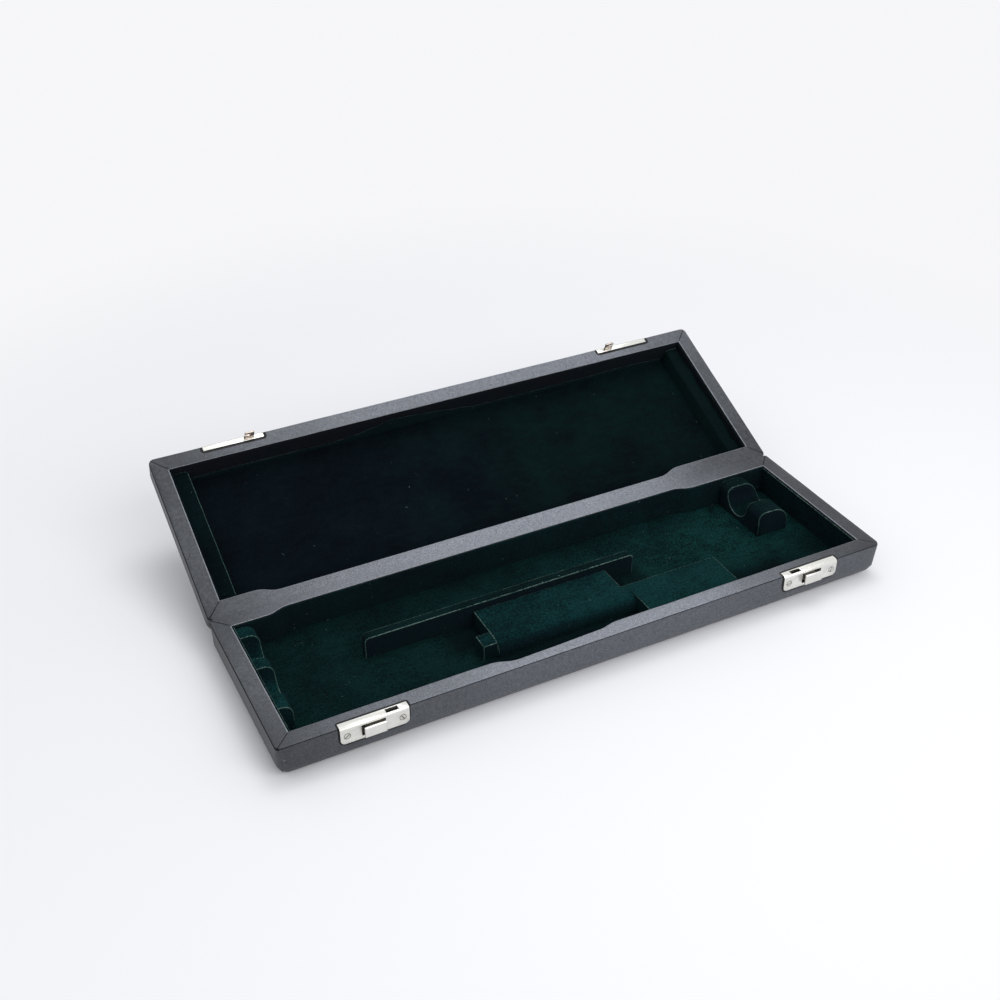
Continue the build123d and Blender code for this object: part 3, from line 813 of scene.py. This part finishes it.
def make_block(node, velvet_kind):
    """A velvet-covered block glued in the base, its edges pale: the pile worn open there, and painted sheen.
    """
    block = merged(node)
    upright = node in ("divider", "key_block_nub", "right_cradle")

    def painted_highlight(edge):
        low, high = sorted(vert.co.z for vert in edge.verts)
        return low > 4.4 * MM or (upright and high - low > 5 * MM)

    # the rolled upper edges take the pale velvet of wear and painted sheen
    worn = rolled(block, ridges(block, 40, painted_highlight), BLOCK_ROLL, clamp=False)
    for face in worn:
        if face.calc_center_median().z > 6 * MM:
            face.material_index = 1
    sliced(block, LENGTHWAYS, 4)
    sliced(block, Vector((0, 1, 0)), 4)
    wavered(block, BLOCK_WAVER, 11, len(node), lambda vert: vert.co.z > 4.2 * MM)
    return piece(node + "_velvet", block, "base", [node], [velvet_kind, WEAR_AND_SHEEN_VELVET])


def patch_mask(tree, here, x, y, soft):
    """1 inside a soft-edged rectangle in plan, in millimetres."""
    spot = add(tree, "SeparateXYZ", {"Vector": here}).outputs
    inside = None
    for axis, (low, high) in (("X", x), ("Y", y)):
        for edge, way in ((low, 1), (high, -1)):
            part = ramp(tree, spot[axis], (edge - way * soft / 2) * MM, (edge + way * soft / 2) * MM)
            inside = part if inside is None else times(tree, inside, part)
    return inside


PAINTED_SHADE_PATCHES = (     # where shade is painted on the floor's pile, in plan: X, Y, softness of its edge, and share
    ((-60, 150), (-60, -24), 12, 0.75),
    ((-74, -50), (-14, 10), 8, 0.7),
    ((30, 50), (-30, 8), 8, 0.8),
    ((50, 66), (-14, 20), 10, 0.7),
    ((-130, 130), (36, 60), 18, 0.35),
    ((-200, -140), (-20, 60), 30, 0.2),
    ((100, 200), (-60, -12), 26, 0.55),
)


def floor_velvet():
    """The lining's velvet, with painted shade in patches where walls and blocks shade the floor."""
    material = LINING.copy()
    material.name = "floor_velvet"
    tree = material.node_tree
    surface = tree.nodes["Principled BSDF"]
    colour = surface.inputs["Base Color"].links[0].from_socket
    here = place_of(tree)
    wobble = scaled(tree, cloud(tree, here, 60, 3), 0.8, 0.6)
    for x, y, soft, share in PAINTED_SHADE_PATCHES:
        part = times(tree, times(tree, patch_mask(tree, here, x, y, soft), wobble), share)
        # painted shade, in a darker velvet tone
        colour = mix(tree, part, colour, (0.0020, 0.0042, 0.0062))
    tree.links.new(colour, surface.inputs["Base Color"])
    return material


def make_floor():
    """The velvet on the base's floor."""
    sheet = merged("base_floor_lining")
    cut_area = sum(face.calc_area() for face in sheet.faces) / 2
    sliced(sheet, LENGTHWAYS, 7)
    sliced(sheet, Vector((0, 1, 0)), 7)
    wavered(sheet, 0.25, 24, 3, lambda vert: vert.co.z > 3.9 * MM)
    made = piece("base_floor_velvet", sheet, "base", ["base_floor_lining"], [floor_velvet()])


def make_lining_wall(node, body, material):
    """The velvet round the walls of a tray, tucked up under its rim, its end edges pale with wear and painted
    sheen.
    """
    wall = merged(node)
    up = tray_up(body)
    least = min(depth(vert.co, body) for vert in wall.verts)
    cut_across(wall, HINGE - up * (least + LINING_CUT) * MM, up)
    for vert in wall.verts:
        if depth(vert.co, body) < least + 0.1:
            vert.co += up * LINING_RISE * MM
            if abs(vert.co.x) > END_WALL_X * MM:
                vert.co.x -= math.copysign(LINING_LEAN, vert.co.x) * MM
    least -= LINING_RISE
    upper = ridges(wall, 50, lambda edge: all(depth(v.co, body) < least + 0.1 for v in edge.verts))
    for face in rolled(wall, upper, 0.25):
        if body == "base" and WEAR_AND_SHEEN_END[0] < abs(face.calc_center_median().x) / MM < WEAR_AND_SHEEN_END[1]:
            face.material_index = 1
    sliced(wall, LENGTHWAYS, 8)
    return piece(node + "_velvet", wall, body, [node], [material, WEAR_AND_SHEEN_VELVET])


LIP = (
    (-178, 3.2), (-148, 4.2), (-104, 3.8), (-82, 3.0), (-64, 5.0), (-51, 8.8), (-39, 13.2), (-26, 12.0),
    (-7, 9.5), (12, 6.3), (27, 3.6), (66, 3.6), (107, 4.0), (147, 5.2), (178, 3.6),
)


def lip_height(x):
    """How far the loose edge of the lid's velvet stands up the front wall, in millimetres."""
    for (left, low), (right, high) in zip(LIP, LIP[1:]):
        if x <= right:
            part = min(max((x - left) / (right - left), 0), 1)
            part = part * part * (3 - 2 * part)
            return low + (high - low) * part
    return LIP[-1][1]


def make_lid_lip():
    """The loose front edge of the lid's velvet, turned up against the wall."""
    lip = bmesh.new()
    bmesh.ops.create_grid(lip, x_segments=120, y_segments=4, size=1)
    for vert in lip.verts:
        x, up = 177.8 * vert.co.x, (vert.co.y + 1) / 2
        tall = lip_height(x) + 0.35 * noise.noise(Vector((x / 5, 0, 3)))
        loose = 0.75 + 0.08 * tall * math.sin(math.pi * up) + 0.04 * tall * up
        vert.co = in_lid(x, LID_WALL - loose, LID_FLOOR + 0.2 - up * (tall + 0.2))
    lip.normal_update()
    bmesh.ops.solidify(lip, geom=lip.faces[:], thickness=0.7 * MM)
    lip.normal_update()
    # its edge faces take the painted sheen
    for face in lip.faces:
        if abs(face.normal.dot(LID_UP)) > 0.6:
            face.material_index = 1
    return piece("lid_panel_turned_edge", lip, "lid", [], [LIP_VELVET, LIP_EDGE_SHEEN_VELVET])


def make_lid_panel():
    sheet = merged("lid_panel_lining")
    cut_area = sum(face.calc_area() for face in sheet.faces) / 2
    sliced(sheet, LENGTHWAYS, 7)
    sliced(sheet, LID_AWAY, 7)
    wavered(sheet, 0.5, 30, 8, lambda vert: depth(vert.co, "lid") < LID_FLOOR + 0.1)
    made = piece("lid_panel_velvet", sheet, "lid", ["lid_panel_lining"], [LID_LINING])


def make_pad(node, name, soft, slack, seed):
    """A soft velvet strip across one end of the lid; soft is the width of its rounded side."""
    pad = merged(node)
    inner = min(abs(vert.co.x) for vert in pad.verts) + 2.5 * MM
    crowned = soft > 2
    worn_from = 103.5 if crowned else 107
    upper = ridges(pad, 40, lambda edge: all(depth(v.co, "lid") < 8 for v in edge.verts))
    # the front end's rolls are worn pale; on the flat pad its inner side also takes painted sheen
    for face in rolled(pad, upper, soft, 5 if crowned else 2, crowned):
        middle = face.calc_center_median()
        if away(middle, "lid") > worn_from or (not crowned and abs(middle.x) < inner):
            face.material_index = 1
    pad.normal_update()
    # the slanted inner side of the flat pad takes painted sheen
    if not crowned:
        for face in pad.faces:
            slant = abs(face.normal.x)
            if 0.6 < slant < 0.93 and abs(face.calc_center_median().x) < inner + 3 * MM:
                face.material_index = 1
    sliced(pad, LID_AWAY, 4)
    wavered(pad, slack, 9, seed, lambda vert: depth(vert.co, "lid") < LID_FLOOR - 0.4)
    cover = SOFT_PAD_VELVET if crowned else PAD_VELVET
    made = piece(name, pad, "lid", [node], [cover, WEAR_AND_SHEEN_VELVET], crease=50)


# ---- latches ----

def fuller(part, node):
    """Opens the tongue's slot and fills the window with the thumb piece, as worn and fitted by hand."""
    if node.endswith("latch_button"):
        cut_across(part, Vector((0, HEAD_BACK, 0)) * MM, BASE_AWAY)
    spread = [abs(vert.co.x) / MM - LATCH_X for vert in part.verts]
    across_middle = (min(spread) + max(spread)) / 2
    for vert in part.verts:
        across = abs(vert.co.x) / MM - LATCH_X
        outward = math.copysign(MM, vert.co.x)
        if node.endswith("latch_plate") and abs(across + SLOT_U) < SLOT_HALF + 0.3 and vert.co.z > 22 * MM:
            if abs(vert.co.y / MM - SLOT_Y) < SLOT_DEEP:
                vert.co.y += (SLOT_REAR_WEAR if vert.co.y > SLOT_Y * MM else -SLOT_FRONT_WEAR) * MM
        if node.endswith("latch_button") and vert.co.y < HEAD_BACK * MM - 1e-6:
            if vert.co.z > HEAD_FOOT_Z * MM:
                vert.co.z += HEAD_RISE * MM
            vert.co.x += (HEAD_OUTWARD if across > across_middle else -HEAD_INWARD) * outward
            vert.co.y -= HEAD_PROUD * MM
        elif node.endswith("latch_button") and across > across_middle:
            vert.co.x -= STEM_SHORT * outward


def make_metal(node, body, material, roll=0.12):
    """A pressed or milled part, its edges broken and the walls of its slot painted dark as shade."""
    part = merged(node)
    fuller(part, node)
    rolled(part, ridges(part, 50), roll)
    part.normal_update()
    for face in part.faces:
        # the slot's walls take the painted shade
        middle = face.calc_center_median()
        in_slot = abs(abs(middle.x) / MM - LATCH_X + SLOT_U) < SLOT_HALF and away(middle, body) < 119.75
        if in_slot and abs(face.normal.z) < 0.3 and 116 < away(middle, body):
            face.material_index = 1
    return piece(node + "_metal", part, body, [node], [material, DARK_NICKEL], crease=32)


def make_spring(side):
    """A leaf spring, on a mesh of its own."""
    node = f"{side}_latch_spring"
    leaf = piece(node + "_leaf", merged(node), "base", [node], [STEEL])
    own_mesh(leaf)


def screw():
    """One slotted wood screw, its head's face at the origin and its shank down from it."""
    head = bmesh.new()
    bmesh.ops.create_cone(
        head, segments=40, radius1=SCREW_HEAD * MM, radius2=SCREW_HEAD * MM, depth=0.5 * MM,
        cap_ends=True, cap_tris=False,
    )
    bmesh.ops.translate(head, verts=head.verts, vec=(0, 0, -0.25 * MM))
    brim = ridges(head, 50, lambda edge: all(v.co.z > -0.1 * MM for v in edge.verts))
    # the rolled brim takes the dark nickel
    for face in rolled(head, brim, 0.22):
        face.material_index = 1

    def on_top(face):
        return face.normal.z > 0.9 and face.calc_center_median().z > -0.01 * MM

    for side in (-SCREW_SLOT_HALF, SCREW_SLOT_HALF):
        cap = [face for face in head.faces if on_top(face)]
        parts = cap + list({e for f in cap for e in f.edges}) + list({v for f in cap for v in f.verts})
        bmesh.ops.bisect_plane(
            head, geom=parts, dist=1e-7, plane_co=(0, side * MM, 0), plane_no=(0, 1, 0)
        )
    head.normal_update()
    slot = [face for face in head.faces if on_top(face) and abs(face.calc_center_median().y) < 0.2 * MM]
    sunk = bmesh.ops.extrude_face_region(head, geom=slot)["geom"]
    bmesh.ops.delete(head, geom=slot, context="FACES")
    # the screw slot's walls and floor: painted shade
    for part in sunk:
        if isinstance(part, bmesh.types.BMFace):
            part.material_index = 1
    floor = [part for part in sunk if isinstance(part, bmesh.types.BMVert)]
    bmesh.ops.translate(head, verts=floor, vec=(0, 0, -SCREW_SLOT_DEEP * MM))
    shank = bmesh.ops.create_cone(
        head, segments=16, radius1=0.25 * MM, radius2=0.9 * MM, depth=SCREW_SHANK * MM,
        cap_ends=True, cap_tris=False,
    )["verts"]
    bmesh.ops.translate(head, verts=shank, vec=(0, 0, -3.68 * MM))
    return head


def make_screws(node, body, spots, out, name):
    """Four screws driven in from one side, each left at its own turn."""
    everything = bmesh.new()
    for centre, degrees in zip(spots, SCREW_TURNS):
        head = screw()
        turn = Matrix.Rotation(math.radians(degrees), 4, "Z")
        aim = out.to_track_quat("Z", "Y").to_matrix().to_4x4()
        bmesh.ops.transform(head, matrix=Matrix.Translation(centre) @ aim @ turn, verts=head.verts)
        scratch = bpy.data.meshes.new("screw")
        head.to_mesh(scratch)
        head.free()
        everything.from_mesh(scratch)
        bpy.data.meshes.remove(scratch)
    return piece(name, everything, body, [node], [SCREW_NICKEL, DARK_NICKEL], crease=32)


# ---- make everything ----

def paint_solids():
    """Gives the solids finer finishes; the latches' bolts and cases are shown by their solids."""
    by_slot = {"wood": BARE_WOOD, "steel": STEEL, "nickel": PLATE_NICKEL, "case_leather": WALL_LEATHER,
               "rim_leather": RIM_LEATHER, "velvet": LINING, "velvet_on_wood": BLOCK_VELVET}
    for node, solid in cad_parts.items():
        for place in solid.material_slots:
            place.material = by_slot[place.material.name.split(".")[0]]
            if node.endswith("latch_bolt"):
                place.material = DARK_NICKEL


bpy.context.scene.view_settings.view_transform = "Standard"
set_camera()
set_table()
set_world()
softbox("overhead", (0.22, 0.25, 1.25), (0.05, 0.05, 0), (0.75, 0.60), 4.0)
softbox("front", (0.25, -1.05, 0.90), (0, -0.05, 0), (1.1, 0.7), 7.0)

paint_solids()
for side in ("front", "left", "right"):
    front = side == "front"
    make_rim(f"base_{side}_rim", "base", LENGTHWAYS if front else BASE_AWAY)
    make_rim(f"lid_{side}_rim", "lid", LENGTHWAYS if front else LID_AWAY)
for body in ("base", "lid"):
    for part in ("board", "front_rail", "rear_rail", "left_rail", "right_rail"):
        make_wood(f"{body}_{part}", body)
for side in ("front", "rear", "left", "right"):
    make_wall(f"base_{side}_leather", "base")
    make_wall(f"lid_{side}_leather", "lid")
make_under("base_bottom_leather", "base")
make_under("lid_top_leather", "lid")
make_hinge_band()

make_floor()
make_lining_wall("base_wall_lining", "base", LINING)
make_lining_wall("lid_wall_lining", "lid", LID_LINING)
make_lid_panel()
make_lid_lip()
for block in ("left_cradle", "right_cradle", "divider", "key_block", "key_block_nub"):
    make_block(block, SHADED_VELVET if block in ("divider", "right_cradle") else BLOCK_VELVET)
make_pad("lid_left_pad", "lid_left_pad_velvet", 0.6, 0.25, 2)
make_pad("lid_right_pad", "lid_right_pad_velvet", 4.0, 0.9, 5)

for side in ("left", "right"):
    make_metal(f"{side}_latch_plate", "base", PLATE_NICKEL)
    make_metal(f"{side}_latch_button", f"{side}_latch", PLATE_NICKEL, 0.1)
    make_spring(side)
    make_metal(f"{side}_striker_plate", "lid", PLATE_NICKEL)
    make_metal(f"{side}_striker_tongue", "lid", WARM_NICKEL, 0.1)
screw_places = [x + u for x in (-LATCH_X, LATCH_X) for u in (-SCREW_U, SCREW_U)]
latch_spots = [Vector((x, PLATE_FACE, LATCH_SCREW_Z)) * MM for x in screw_places]
make_screws("latch_screws", "base", latch_spots, BASE_AWAY, "latch_screw_heads")
striker_spots = [in_lid(x, STRIKER_FACE, STRIKER_SCREW_DEEP) for x in screw_places]
make_screws("striker_screws", "lid", striker_spots, LID_AWAY, "striker_screw_heads")
